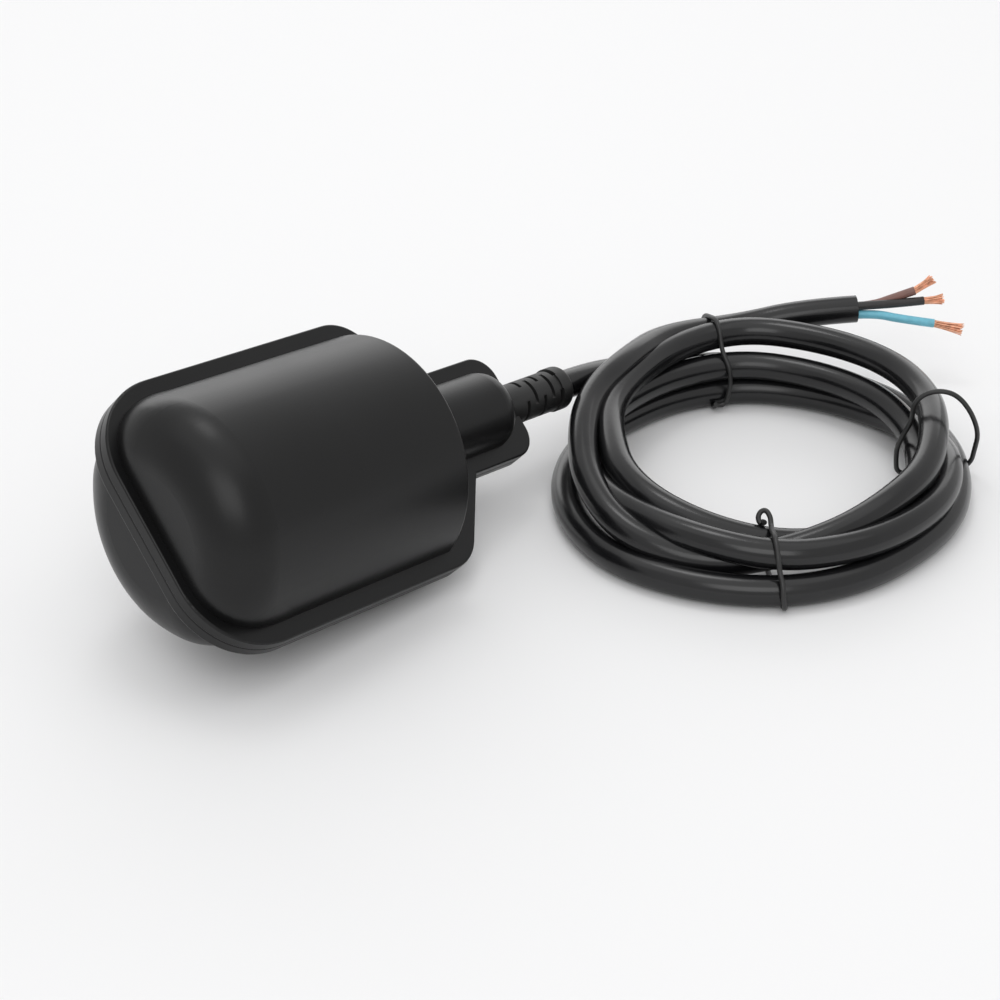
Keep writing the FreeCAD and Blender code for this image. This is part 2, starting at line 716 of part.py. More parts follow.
def switch_carrier():
    """Moulding that holds the ball's channel above and the microswitch below."""
    block = box("channel_block", (CHANNEL_START, -CHANNEL_HALF, CASE_TOP),
                (CHANNEL_END, CHANNEL_HALF, LID_SEAT))
    solids = [block]
    for number, (x, y) in enumerate(POST_SPOTS):
        solids.append(rod(f"post_{number}", (x, y, CASE_TOP), z.post_radius,
                          LID_SEAT - CASE_TOP))
    for number, middle in enumerate((ARM_FAR, ARM_NEAR)):
        solids.append(box(f"arm_{number}",
                          (middle - z.arm_length / 2, -ARM_HALF, CASE_TOP),
                          (middle + z.arm_length / 2, ARM_HALF, z.rail_top)))
    for number, (x, y) in enumerate(ARM_SPOTS):
        solids.append(rod(f"foot_{number}", (x, y, -z.boss_drop), z.boss_radius,
                          CASE_TOP + z.boss_drop))
    solids.append(box("cheek", (CASE_START, -z.case_half - z.cheek_thick, CASE_FOOT),
                      (CASE_END, -z.case_half, z.rail_top)))
    room = box("channel_room", (ROOM_START, -ROOM_HALF, z.rail_top),
               (ROOM_END, ROOM_HALF, LID_SEAT + 1))
    slot = box("lever_slot", (ROOM_START, -z.slot_half, CASE_TOP - 1),
               (ARM_NEAR + z.arm_length, z.slot_half, z.rail_top + z.slot_rise))
    holes = [rod(f"arm_hole_{number}", (x, y, -z.boss_drop - 1),
                 z.screw_radius + z.screw_fit, z.rail_top + z.boss_drop + 2)
             for number, (x, y) in enumerate(ARM_SPOTS)]
    holes += [rod(f"post_hole_{number}", (x, y, LID_SEAT - z.lid_screw_long),
                  z.lid_screw_radius, z.lid_screw_long + 1)
              for number, (x, y) in enumerate(POST_SPOTS)]
    holes += [rod(f"cheek_hole_{number}", (x, -z.case_half - z.cheek_thick - 1, up),
                  z.case_screw_radius, z.cheek_thick + 2, "y")
              for number, (x, up) in enumerate(CASE_HOLES)]
    carrier = fuse("carrier_solid", *solids)
    keep("switch_carrier", cut("carrier", carrier, room, slot, *holes))


def channel_lid():
    plate = box("lid_plate", (CHANNEL_START, -CHANNEL_HALF, LID_SEAT),
                (CHANNEL_END, CHANNEL_HALF, LID_SEAT + z.lid_thick))
    lugs = [rod(f"lid_lug_{number}", (x, y, LID_SEAT), z.post_radius, z.lid_thick)
            for number, (x, y) in enumerate(POST_SPOTS)]
    holes = [rod(f"lid_hole_{number}", (x, y, LID_SEAT - 1),
                 z.lid_screw_radius + z.screw_fit, z.lid_thick + 2)
             for number, (x, y) in enumerate(POST_SPOTS)]
    keep("channel_lid", cut("lid", fuse("lid_solid", plate, *lugs), *holes))


# ---------------------------------------------------------------- microswitch

MS_ROOM_START = CASE_START + z.case_wall
MS_ROOM_END = CASE_END - z.case_wall
MS_ROOM_TOP = CASE_TOP - z.case_wall
MS_ROOM_FLOOR = CASE_FOOT + z.foot_thick
LID_SIDE = z.case_half - z.case_lid
PIN_LEVEL = CASE_TOP + z.pin_up
EYE_RADIUS = z.pin_radius + z.pin_fit + z.lever_thick
LEVER_FLAT = PIN_LEVEL - EYE_RADIUS
PIN_X = CASE_END - z.pin_in
PLUNGER_X = CASE_START + z.plunger_in
LEVER_TIP = BALL_FAR + z.tip_short
LEVER_CREST = BALL_NEAR + z.crest_ahead
LEVER_FOLD = BALL_NEAR + z.fold_ahead
CONTACT_X = CASE_START + z.contact_in
BLADE_TOP = CASE_TOP - z.blade_drop + z.blade_thick / 2
BLADE_FOOT = BLADE_TOP - z.blade_thick
CLOSED_X = CASE_START + z.terminal_in
OPEN_X = CLOSED_X + z.terminal_pitch
COMMON_X = OPEN_X + z.terminal_pitch
TERMINALS = (CLOSED_X, OPEN_X, COMMON_X)


def ms_case():
    """Half of the microswitch's case, with its room, ears and terminal slots."""
    case = box("case_block", (CASE_START, -z.case_half, CASE_FOOT),
               (CASE_END, LID_SIDE, CASE_TOP))
    ears = []
    inner = z.lever_half + z.pin_fit
    for number, side in enumerate((-1, 1)):
        near = inner * side
        far = (inner + z.ear_thick) * side
        low, high = (far, near) if side < 0 else (near, far)
        ears.append(box(f"ear_{number}", (PIN_X - EYE_RADIUS, low, CASE_TOP),
                        (PIN_X + EYE_RADIUS, high, PIN_LEVEL + EYE_RADIUS)))
    room = box("case_room", (MS_ROOM_START, z.case_wall - z.case_half, MS_ROOM_FLOOR),
               (MS_ROOM_END, LID_SIDE + 1, MS_ROOM_TOP))
    bore = rod("plunger_bore", (PLUNGER_X, 0, MS_ROOM_TOP - 1),
               z.plunger_radius + z.plunger_fit, z.case_wall + 2)
    pin_hole = rod("ear_hole", (PIN_X, -inner - z.ear_thick - 1, PIN_LEVEL),
                   z.pin_radius, (inner + z.ear_thick + 1) * 2, "y")
    slots = [box(f"case_slot_{number}",
                 (x - z.strip_thick / 2, -z.strip_half, CASE_FOOT - 1),
                 (x + z.strip_thick / 2, z.strip_half, MS_ROOM_FLOOR + 1))
             for number, x in enumerate(TERMINALS)]
    holes = [rod(f"case_hole_{number}", (x, -z.case_half - 1, up),
                 z.case_screw_radius + z.screw_fit, z.case_half * 2 + 2, "y")
             for number, (x, up) in enumerate(CASE_HOLES)]
    solid = fuse("case_solid", case, *ears)
    keep("ms_case", cut("case", solid, room, bore, pin_hole, *slots, *holes))


def ms_cover():
    plate = box("cover_plate", (CASE_START, LID_SIDE, CASE_FOOT),
                (CASE_END, z.case_half, CASE_TOP))
    holes = [rod(f"cover_hole_{number}", (x, LID_SIDE - 1, up),
                 z.case_screw_radius + z.screw_fit, z.case_lid + 2, "y")
             for number, (x, up) in enumerate(CASE_HOLES)]
    keep("ms_cover", cut("cover", plate, *holes))


def ms_plunger():
    head_foot = BLADE_TOP + z.running_gap
    head_top = MS_ROOM_TOP - z.plunger_travel - z.running_gap
    shaft = rod("plunger_shaft", (PLUNGER_X, 0, head_foot), z.plunger_radius,
                LEVER_FLAT - z.running_gap - head_foot)
    head = rod("plunger_collar", (PLUNGER_X, 0, head_foot), z.plunger_head,
               head_top - head_foot)
    keep("ms_plunger", fuse("plunger", shaft, head))


def ms_lever():
    """Sheet lever: an eye on the pin, a flat over the plunger, a crest, a ramp."""
    slope = tangent(z.lever_slope)
    under_ball = (BALL_LEVEL
                  - (z.ball_radius + z.running_gap) / cosine(z.lever_slope))
    crest = under_ball + (LEVER_CREST - BALL_NEAR) * slope
    tip = under_ball + (LEVER_TIP - BALL_NEAR) * slope
    thick = z.lever_thick
    body = new_body("lever_sheet")
    side = new_sketch(body, "lever_side", "XZ_Plane")
    outline(side,
            [(LEVER_TIP, tip - thick), (LEVER_CREST, crest - thick),
             (LEVER_FOLD - thick / 2, LEVER_FLAT), (PIN_X, LEVER_FLAT),
             (PIN_X, LEVER_FLAT + thick), (LEVER_FOLD, LEVER_FLAT + thick),
             (LEVER_CREST + z.crest_flat / 2, crest),
             (LEVER_CREST - z.crest_flat / 2, crest),
             (LEVER_TIP, tip)])
    pad(body, side, z.lever_half * 2, symmetric=True)
    eye = rod("lever_eye", (PIN_X, -z.lever_half, PIN_LEVEL), EYE_RADIUS,
              z.lever_half * 2, "y")
    hole = rod("lever_hole", (PIN_X, -z.lever_half - 1, PIN_LEVEL),
               z.pin_radius + z.pin_fit, z.lever_half * 2 + 2, "y")
    keep("ms_lever", cut("lever", fuse("lever_solid", body, eye), hole))


def lever_pin():
    reach = z.lever_half + z.pin_fit + z.ear_thick
    pin = rod("pin_rod", (PIN_X, -reach, PIN_LEVEL), z.pin_radius, reach * 2, "y")
    keep("lever_pin", group("pin_group", pin))


def terminal(name, x, top):
    """A terminal strip from its blade below the case up to a level."""
    return box(name, (x - z.strip_thick / 2, -z.strip_half, CASE_FOOT - z.strip_foot),
               (x + z.strip_thick / 2, z.strip_half, top))


def silver(name, foot):
    return rod(name, (CONTACT_X, 0, foot), z.contact_radius, z.contact_thick)


def contact_common():
    strip = terminal("common_strip", COMMON_X, BLADE_FOOT - z.running_gap)
    keep("contact_common", group("common_group", strip))


def contact_open():
    """Fixed contact under the moving blade, closed while the ball is at the neck."""
    face = BLADE_FOOT - z.contact_thick - z.running_gap
    level = face - z.contact_thick
    strip = terminal("open_strip", OPEN_X, level)
    shelf = box("open_shelf",
                (CONTACT_X - z.contact_radius, -z.strip_half, level - z.strip_thick),
                (OPEN_X + z.strip_thick / 2, z.strip_half, level))
    keep("contact_open", fuse("open", strip, shelf, silver("open_silver", level)))


def contact_closed():
    """Fixed contact over the moving blade, on a strip bent round the blade's end."""
    face = BLADE_TOP + z.contact_thick + z.contact_gap + z.running_gap
    level = face + z.contact_thick
    start = MS_ROOM_START + z.running_gap
    strip = terminal("closed_strip", CLOSED_X, MS_ROOM_FLOOR + z.strip_thick)
    foot = box("closed_foot", (start, -z.strip_half, MS_ROOM_FLOOR),
               (CLOSED_X + z.strip_thick / 2, z.strip_half,
                MS_ROOM_FLOOR + z.strip_thick))
    riser = box("closed_riser", (start, -z.strip_half, MS_ROOM_FLOOR),
                (start + z.strip_thick, z.strip_half, level + z.strip_thick))
    shelf = box("closed_shelf", (start, -z.strip_half, level),
                (CONTACT_X + z.contact_radius, z.strip_half, level + z.strip_thick))
    keep("contact_closed",
         fuse("closed", strip, foot, riser, shelf, silver("closed_silver", face)))


def ms_blade():
    """Moving blade with a silver contact on each side, hinged on the common strip."""
    start = CONTACT_X - z.contact_radius
    sheet_metal = box("blade_sheet", (start, -z.blade_half, BLADE_FOOT),
                      (COMMON_X + z.strip_thick, z.blade_half, BLADE_TOP))
    keep("ms_blade", fuse("blade", sheet_metal, silver("blade_upper", BLADE_TOP),
                          silver("blade_lower", BLADE_FOOT - z.contact_thick)))


# ------------------------------------------------------------ cords and leads

BEND_SHARE = 0.45  # share of the shorter run that a bend takes up
VOLUME_ERROR = 0.01


def cord_path(points):
    """Straight runs joined by arcs as large as the runs beside them allow."""
    runs = [(after - before).Length for before, after in zip(points, points[1:])]
    edges = []
    radii = []
    start = points[0]
    for index in range(1, len(points) - 1):
        corner = points[index]
        back = (points[index - 1] - corner).normalize()
        ahead = (points[index + 1] - corner).normalize()
        turn = math.pi - back.getAngle(ahead)
        reach = BEND_SHARE * min(runs[index - 1], runs[index])
        radius = reach / math.tan(turn / 2)
        inward = (back + ahead).normalize()
        middle = corner + inward * (math.hypot(radius, reach) - radius)
        first = corner + back * reach
        last = corner + ahead * reach
        edges.append(Part.LineSegment(start, first).toShape())
        edges.append(Part.Arc(first, middle, last).toShape())
        radii.append(round(radius, 1))
        start = last
    edges.append(Part.LineSegment(start, points[-1]).toShape())
    return Part.Wire(edges), radii


def tube(name, points, radius):
    """A round tube along hand-chosen points; its volume is checked."""
    path, radii = cord_path(points)
    heading = (points[1] - points[0]).normalize()
    ring = Part.Wire([Part.makeCircle(radius, points[0], heading)])
    solid = path.makePipeShell([ring], True, False)
    expected = math.pi * radius ** 2 * path.Length
    if abs(solid.Volume / expected - 1) > VOLUME_ERROR:
        raise RuntimeError(f"{name} has volume {solid.Volume}, not {expected}")
    print(f"{name}: {path.Length:.1f} long, bend radii {radii}")
    return solid


def shaped(node, solid, placement=None):
    """A sub-part whose form is set with Part's own functions."""
    feature = doc.addObject("Part::Feature", f"{node}_shape")
    feature.Shape = solid
    keep(node, feature, placement or Placement())


def crimps():
    """Push-on terminals: a barrel across the foot of each strip, slotted for it."""
    level = CASE_FOOT - z.crimp_drop
    barrels = []
    for number, x in enumerate(TERMINALS):
        barrel = rod(f"crimp_{number}", (x, z.strip_half, level), z.crimp_radius,
                     z.crimp_length, "y")
        barrels.append(barrel)
    keep("crimps", group("crimps_group", *barrels))


# Each lead leaves the sheath, turns down beside the microswitch in a lane of its
# own and drops to its terminal. The first points are back from the sheath's end,
# across and up from the cord's axis. The rest are ahead of the terminal, out from
# its barrel's end and up from the barrel.
INNER_LEADS = {
    "lead_black": ([(2.4, -0.8, 1.4), (4.0, 3.2, 0.4), (4.8, 8.4, -2.4),
                    (9.0, 10.7, -4.0)],
                   [(8.4, 2.4, 14.3), (1.8, 2.4, 13.1), (0.2, 2.5, 8.3),
                    (0.0, 2.5, 3.3)]),
    "lead_blue": ([(1.6, 1.6, 0.0), (2.6, 4.8, -3.0), (4.4, 9.2, -6.0),
                   (8.5, 10.7, -7.5)],
                  [(4.8, 2.4, 10.7), (1.2, 2.4, 9.1), (0.1, 2.5, 5.8),
                   (0.0, 2.5, 2.7)]),
    "lead_brown": ([(2.0, -0.8, -1.4), (2.8, 2.6, -5.0), (4.0, 7.5, -9.5),
                    (7.5, 10.4, -11.2)],
                   [(1.8, 2.5, 5.7), (0.0, 2.5, 2.7)]),
}


def inner_leads():
    """The three cores from the sheath's inner end to the microswitch."""
    level = (CASE_FOOT - z.crimp_drop).value
    barrel_end = (z.strip_half + z.crimp_length).value
    sheath_end = CORD_INNER_END.value
    for (node, (out, on)), terminal_x in zip(INNER_LEADS.items(), TERMINALS):
        ahead = terminal_x.value
        _, across, up = out[0]
        points = [Vector(sheath_end, across, up)]
        points += [Vector(sheath_end - back, across, up) for back, across, up in out]
        points += [Vector(ahead + x, barrel_end + y, level + up) for x, y, up in on]
        points += [Vector(ahead, barrel_end + z.lead_turn.value, level),
                   Vector(ahead, barrel_end, level)]
        shaped(node, tube(node, points, z.core_radius.value), REST)


def out_of_float(x):
    """A point on the cord's axis, x along the float, where the float rests."""
    return REST.multVec(Vector(x, 0, 0))


LEAD = [(90.2, 0.3, 14.4), (106.2, -1.4, 9.4), (120.7, -11.4, 7.8),
        (128.7, -27.6, 6.8), (127.3, -45.0, 6.0)]
TAIL = [(83.0, -11.0, 13.5), (97.0, -6.4, 16.2), (112.0, -3.8, 17.2),
        (125.7, -7.8, 17.5), (138.5, -16.6, 18.0), (149.1, -26.4, 18.5)]
# forward, to the left and up from the middle of the sheath's cut end
BARE_CORES = {
    "brown": [(0, 0.6, 1.4), (4.5, 0.6, 1.4), (9.5, 0.9, 2.5), (14.5, 1.3, 4.8),
              (20.0, 2.0, 7.4)],
    "black": [(0, 1.0, -1.0), (4.5, 1.0, -1.0), (10, 1.2, 0.3), (17.5, 1.5, 1.4),
              (22.5, 1.6, 1.6)],
    "blue": [(0, -1.6, -0.3), (4.5, -1.6, -0.3), (11, -2.6, -2.5), (19.5, -3.6, -3.3),
             (27.0, -5.2, -4.3)],
}


def cord_lead():
    end = z.boot_end.value
    points = [out_of_float(end), out_of_float(end + z.lead_straight.value)]
    points += [Vector(*spot) for spot in LEAD]
    shaped("cord_lead", tube("cord_lead", points, z.cord_radius.value))


def cord_coil():
    """Outer shape of the four turns, as one rounded ring."""
    rings = []
    for name, inset in (("outer", ZERO), ("inner", z.coil_width)):
        disc = doc.addObject("Part::Ellipse", f"coil_{name}")
        disc.setExpression("MajorRadius", (z.coil_long - inset).text)
        disc.setExpression("MinorRadius", (z.coil_short - inset).text)
        drum = doc.addObject("Part::Extrusion", f"coil_{name}_drum")
        drum.Base = disc
        drum.Solid = True
        drum.DirMode = "Custom"
        drum.Dir = Vector(0, 0, 1)
        drum.setExpression("LengthFwd", z.coil_tall.text)
        rings.append(drum)
    hollow = cut("coil_hollow", *rings)
    doc.recompute()
    rounded = doc.addObject("Part::Fillet", "coil_rounded")
    rounded.Base = hollow
    radius = z.coil_round.value
    edges = enumerate(hollow.Shape.Edges, start=1)
    rounded.Edges = [(number, radius, radius) for number, edge in edges
                     if edge.BoundBox.ZLength < SAME]
    keep("cord_coil", rounded,
         Placement(Vector(z.coil_x.value, z.coil_y.value, 0), Rotation()))


def cord_tail():
    points = [Vector(*spot) for spot in TAIL]
    shaped("cord_tail", tube("cord_tail", points, z.cord_radius.value))


def cut_end_frame():
    """Turns forward, left and up at the cut end into the floor's frame."""
    before, end = (Vector(*spot) for spot in TAIL[-2:])
    forward = (end - before).normalize()
    left = Vector(0, 0, 1).cross(forward).normalize()
    up = forward.cross(left)
    return lambda spot: end + forward * spot[0] + left * spot[1] + up * spot[2]


def bare_end():
    """Three stripped cores, each with a bundle of bare copper strands."""
    place = cut_end_frame()
    for colour, spots in BARE_CORES.items():
        *insulated, tip = [place(spot) for spot in spots]
        solid = tube(f"core_{colour}", insulated, z.core_radius.value)
        shaped(f"core_{colour}", solid)
        bare = tip - insulated[-1]
        cone = Part.makeCone(z.strand_root.value, z.strand_tip.value, bare.Length,
                             insulated[-1], bare)
        shaped(f"strands_{colour}", cone)


# The angle of each tie about the coil, and its loop: the share of the way from the
# coil's inner edge to its outer edge, and up.
TIES = {
    "tie_back": (46, [(1.63, 21.2), (0.84, 21.4), (0.11, 20.6), (-0.07, 14.0),
                      (-0.06, 5.0), (0.21, 0.6), (1.05, 0.6), (1.5, 3.4),
                      (1.77, 13.0), (1.71, 20.6)]),
    "tie_right": (-25, [(1.3, 21.2), (0.84, 21.4), (0.11, 20.6), (-0.07, 14.0),
                        (-0.06, 5.0), (0.21, 0.6), (0.95, 0.6), (1.3, 3.8),
                        (1.5, 12.0), (1.42, 20.2)]),
    "tie_front": (-135, [(0.46, 21.3), (0.16, 20.9), (-0.07, 15.0), (-0.07, 5.5),
                         (0.16, 0.6), (0.82, 0.6), (1.14, 6.0), (1.08, 14.0),
                         (0.85, 20.6), (0.54, 21.4)]),
}


def coil_edge(angle, inset):
    """From the middle of the coil to its edge, or to a line inside its edge."""
    across = math.cos(angle) / (z.coil_long.value - inset)
    along = math.sin(angle) / (z.coil_short.value - inset)
    return 1 / math.hypot(across, along)


def ties():
    """Wire ties that bundle the coil, each twisted into a small knot."""
    middle = Vector(z.coil_x.value, z.coil_y.value, 0)
    for node, (degrees, spots) in TIES.items():
        angle = math.radians(degrees)
        out = Vector(math.cos(angle), math.sin(angle), 0)
        inner = coil_edge(angle, z.coil_width.value)
        outer = coil_edge(angle, 0)
        points = [middle + out * (inner + share * (outer - inner)) + Vector(0, 0, up)
                  for share, up in spots]
        loop = tube(node, points, z.tie_radius.value)
        between = (points[0] + points[-1]) * 0.5
        knot = Part.makeSphere(z.tie_knot.value, between, out)
        shaped(node, loop.fuse(knot).removeSplitter())


# ------------------------------------------------------------------- assembly

def build():
    upper_shell()
    lower_shell()
    cable_boot()
    neck_seal()
    cord_clamp()
    screws("clamp_screws", CLAMP_SPOTS, z.clamp_top, z.screw_radius, z.screw_head,
           z.screw_long, z.screw_head_tall)
    cord_root()
    ball()
    switch_carrier()
    screws("carrier_screws", ARM_SPOTS, z.rail_top, z.screw_radius, z.screw_head,
           z.screw_long, z.screw_head_tall)
    channel_lid()
    screws("lid_screws", POST_SPOTS, LID_SEAT + z.lid_thick, z.lid_screw_radius,
           z.lid_screw_head, z.lid_screw_long, z.lid_thick / 2)
    ms_case()
    ms_cover()
    screws("ms_screws", CASE_HOLES, z.case_half, z.case_screw_radius,
           z.case_screw_head, 2 * z.case_half + z.cheek_thick, z.lid_thick, "y")
    ms_plunger()
    ms_lever()
    lever_pin()
    contact_common()
    contact_open()
    contact_closed()
    ms_blade()
    crimps()
    inner_leads()
    cord_lead()
    cord_coil()
    cord_tail()
    bare_end()
    ties()


def check_and_export():
    doc.recompute()
    for item in doc.Objects:
        if "Invalid" in item.State or "Error" in item.State:
            raise RuntimeError(f"{item.Name} failed: {item.State}")
    for node, item in pieces.items():
        if item.Shape.isNull() or not item.Shape.isValid():
            raise RuntimeError(f"{node} has no valid shape")
    os.makedirs("parts", exist_ok=True)
    for node, item in pieces.items():
        item.Shape.exportStep(f"parts/{node}.step")


build()
check_and_export()
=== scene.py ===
import math

import bpy
from mathutils import Matrix, Vector


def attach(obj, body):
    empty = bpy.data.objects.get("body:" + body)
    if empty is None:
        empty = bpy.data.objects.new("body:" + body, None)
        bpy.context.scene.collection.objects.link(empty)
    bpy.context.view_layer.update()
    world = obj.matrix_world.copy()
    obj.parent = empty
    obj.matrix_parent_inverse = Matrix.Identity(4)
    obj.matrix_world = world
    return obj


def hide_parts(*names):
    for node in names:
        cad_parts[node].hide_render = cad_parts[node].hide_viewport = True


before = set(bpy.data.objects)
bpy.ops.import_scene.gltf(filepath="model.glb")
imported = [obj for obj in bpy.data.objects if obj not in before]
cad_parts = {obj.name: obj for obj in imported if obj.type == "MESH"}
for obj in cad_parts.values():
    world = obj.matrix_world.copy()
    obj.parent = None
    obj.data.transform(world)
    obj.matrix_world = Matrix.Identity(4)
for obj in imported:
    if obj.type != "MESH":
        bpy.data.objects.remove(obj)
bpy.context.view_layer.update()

# ------------------------------------------------------------------ camera and stage
# The float switch lies on a plain pale table under a large overhead soft box, with a
# small one near it and one each behind and in front, seen from thirty degrees up.

aim = Vector((0.03945, -0.00369, 0.0))
azimuth, elevation, distance = math.radians(-47.5), math.radians(30), 0.565
back = Vector((math.sin(azimuth) * math.cos(elevation),
               -math.cos(azimuth) * math.cos(elevation), math.sin(elevation)))
camera_data = bpy.data.cameras.new("camera")
camera_data.lens = 86.4
camera_data.sensor_width = 36
camera_data.clip_start = 0.01
camera_data.clip_end = 20
camera = bpy.data.objects.new("camera", camera_data)
bpy.context.scene.collection.objects.link(camera)
camera.location = aim + back * distance
camera.rotation_euler = (-back).to_track_quat("-Z", "Y").to_euler()
bpy.context.scene.camera = camera
bpy.context.scene.view_settings.view_transform = "Standard"


def new_material(name):
    """An empty node material with its Principled shader and output."""
    material = bpy.data.materials.new(name)
    material.use_nodes = True
    tree = material.node_tree
    return material, tree, tree.nodes["Principled BSDF"]


def add_node(tree, kind, **values):
    """A node of that kind; values fill its inputs by name, with _ for a space."""
    node = tree.nodes.new(kind)
    for label, value in values.items():
        if hasattr(node, label):
            setattr(node, label, value)
        else:
            node.inputs[label.replace("_", " ")].default_value = value
    return node


floor_mesh = bpy.data.meshes.new("table_top")
reach = 4.0
floor_mesh.from_pydata([(-reach, -reach, 0), (reach, -reach, 0), (reach, reach, 0),
                        (-reach, reach, 0)], [], [(0, 1, 2, 3)])
floor = bpy.data.objects.new("table_top", floor_mesh)
bpy.context.scene.collection.objects.link(floor)
floor_paint, tree, shader = new_material("pale_table")
shader.inputs["Base Color"].default_value = (0.86, 0.86, 0.865, 1)
shader.inputs["Roughness"].default_value = 0.6
shader.inputs["Specular IOR Level"].default_value = 0.2
floor_mesh.materials.append(floor_paint)

world = bpy.data.worlds.new("studio")
bpy.context.scene.world = world
world.use_nodes = True
tree = world.node_tree
tree.nodes.clear()
seen = add_node(tree, "ShaderNodeLightPath")
camera_or_clear = add_node(tree, "ShaderNodeMath", operation="MAXIMUM")
tree.links.new(seen.outputs["Is Camera Ray"], camera_or_clear.inputs[0])
tree.links.new(seen.outputs["Is Transmission Ray"], camera_or_clear.inputs[1])
fill = add_node(tree, "ShaderNodeBackground", Color=(1, 1, 1, 1), Strength=0.70)
white = add_node(tree, "ShaderNodeBackground", Color=(0.915, 0.915, 0.92, 1),
                 Strength=1.0)
mix = add_node(tree, "ShaderNodeMixShader")
out = add_node(tree, "ShaderNodeOutputWorld")
tree.links.new(camera_or_clear.outputs[0], mix.inputs[0])
tree.links.new(fill.outputs[0], mix.inputs[1])
tree.links.new(white.outputs[0], mix.inputs[2])
tree.links.new(mix.outputs[0], out.inputs[0])

# name, place, aim, width, length, watts
SOFT_BOXES = [
    ("overhead_box", (0.0, 0.0, 1.10), (0.03, 0.0, 0.0), 1.4, 1.4, 2.9),
    ("key_box", (0.15, 0.20, 0.90), (0.05, -0.02, 0.0), 0.25, 0.25, 0.7),
    ("back_box", (1.20, 1.08, 0.62), (0.0, 0.0, 0.05), 2.2, 0.9, 7.0),
    ("front_box", (-0.75, -0.70, 0.85), (0.0, 0.0, 0.03), 0.9, 0.7, 3.4),
]
for name, place, target, width, length, watts in SOFT_BOXES:
    lamp_data = bpy.data.lights.new(name, "AREA")
    lamp_data.shape = "RECTANGLE"
    lamp_data.size = width
    lamp_data.size_y = length
    lamp_data.energy = watts
    lamp = bpy.data.objects.new(name, lamp_data)
    bpy.context.scene.collection.objects.link(lamp)
    lamp.location = place
    toward = Vector(target) - Vector(place)
    lamp.rotation_euler = toward.to_track_quat("-Z", "Y").to_euler()

# ------------------------------------------------------------------ the cord
# Seven-millimetre round PVC cord with three cores. It leaves the boot, runs into a
# loose hand-wound coil of four turns and comes up over its back edge to a cut end.

MM = 0.001
CORD_RADIUS = 3.5 * MM
BOOT_END = Vector((64.32, 0.0, 19.2)) * MM
# millimetres: from the boot to the coil, and from the coil to the cut end
LEAD_SPOTS = [(75.25, 0.0, 17.99), (90.2, 0.3, 14.0), (106.2, -1.5, 9.0)]
TAIL_SPOTS = [(138.5, -16.6, 18.0), (149.1, -26.4, 18.5)]
COIL_MIDDLE = Vector((82.15, -47.3, 0.0))
COIL_START = 42.5
# degrees turned clockwise, distance of the strand from the middle, height
TURNS = [
    (0, 54.5, 6.8), (45, 53.2, 4.4), (90, 46.2, 3.6), (112.5, 44.6, 3.6),
    (135, 43.6, 3.6), (180, 48.0, 3.6), (225, 49.2, 3.6), (270, 45.3, 3.6),
    (315, 43.2, 3.6), (360, 48.0, 3.6), (405, 46.2, 4.0), (450, 43.6, 9.4),
    (495, 42.2, 9.8), (540, 43.9, 10.2), (562.5, 42.2, 11.4), (585, 40.6, 11.2),
    (630, 40.2, 9.8), (675, 42.4, 10.2), (720, 48.0, 10.6), (765, 43.6, 10.2),
    (810, 37.4, 7.8), (855, 35.2, 6.2), (900, 35.2, 8.0), (945, 36.4, 13.0),
    (990, 34.6, 15.4), (1035, 40.0, 17.0), (1080, 54.0, 17.3), (1125, 48.6, 17.6),
    (1170, 39.6, 16.8), (1215, 36.8, 13.6), (1237.5, 37.6, 11.0), (1260, 38.6, 7.6),
    (1282.5, 42.6, 5.6), (1305, 46.2, 9.4), (1350, 41.4, 16.8), (1395, 42.0, 20.5),
    (1417.5, 51.5, 18.0), (1440, 59.0, 15.0),
]
POINTS_A_TURN = 16


def between(stations, turned):
    """Radius and height of the strand at that turn, between its stations."""
    for (a, r0, h0), (b, r1, h1) in zip(stations, stations[1:]):
        if a <= turned <= b:
            share = (turned - a) / (b - a)
            return r0 + (r1 - r0) * share, h0 + (h1 - h0) * share


def new_curve(name, points, radius, sides=6):
    """A round cord along one smooth open NURBS spline with these control points."""
    data = bpy.data.curves.new(name, "CURVE")
    data.dimensions = "3D"
    spline = data.splines.new("NURBS")
    spline.points.add(len(points) - 1)
    for spot, point in zip(spline.points, points):
        spot.co = (*point, 1.0)
    spline.order_u = 3
    spline.use_endpoint_u = True
    spline.resolution_u = 8
    data.bevel_depth = radius
    data.bevel_resolution = sides
    data.use_fill_caps = True
    piece = bpy.data.objects.new(name, data)
    bpy.context.scene.collection.objects.link(piece)
    return piece


step = 360 / POINTS_A_TURN
control_reach = 1 / math.cos(math.radians(step / 2))
cord_points = [BOOT_END] + [Vector(spot) * MM for spot in LEAD_SPOTS]
for number in range(int(TURNS[-1][0] / step) + 1):
    turned = number * step
    radius, height = between(TURNS, turned)
    angle = math.radians(COIL_START - turned)
    around = Vector((math.cos(angle), math.sin(angle), 0)) * radius * control_reach
    cord_points.append((COIL_MIDDLE + around + Vector((0, 0, height))) * MM)
cord_points += [Vector(spot) * MM for spot in TAIL_SPOTS]
cord = new_curve("cord", cord_points, CORD_RADIUS, sides=7)


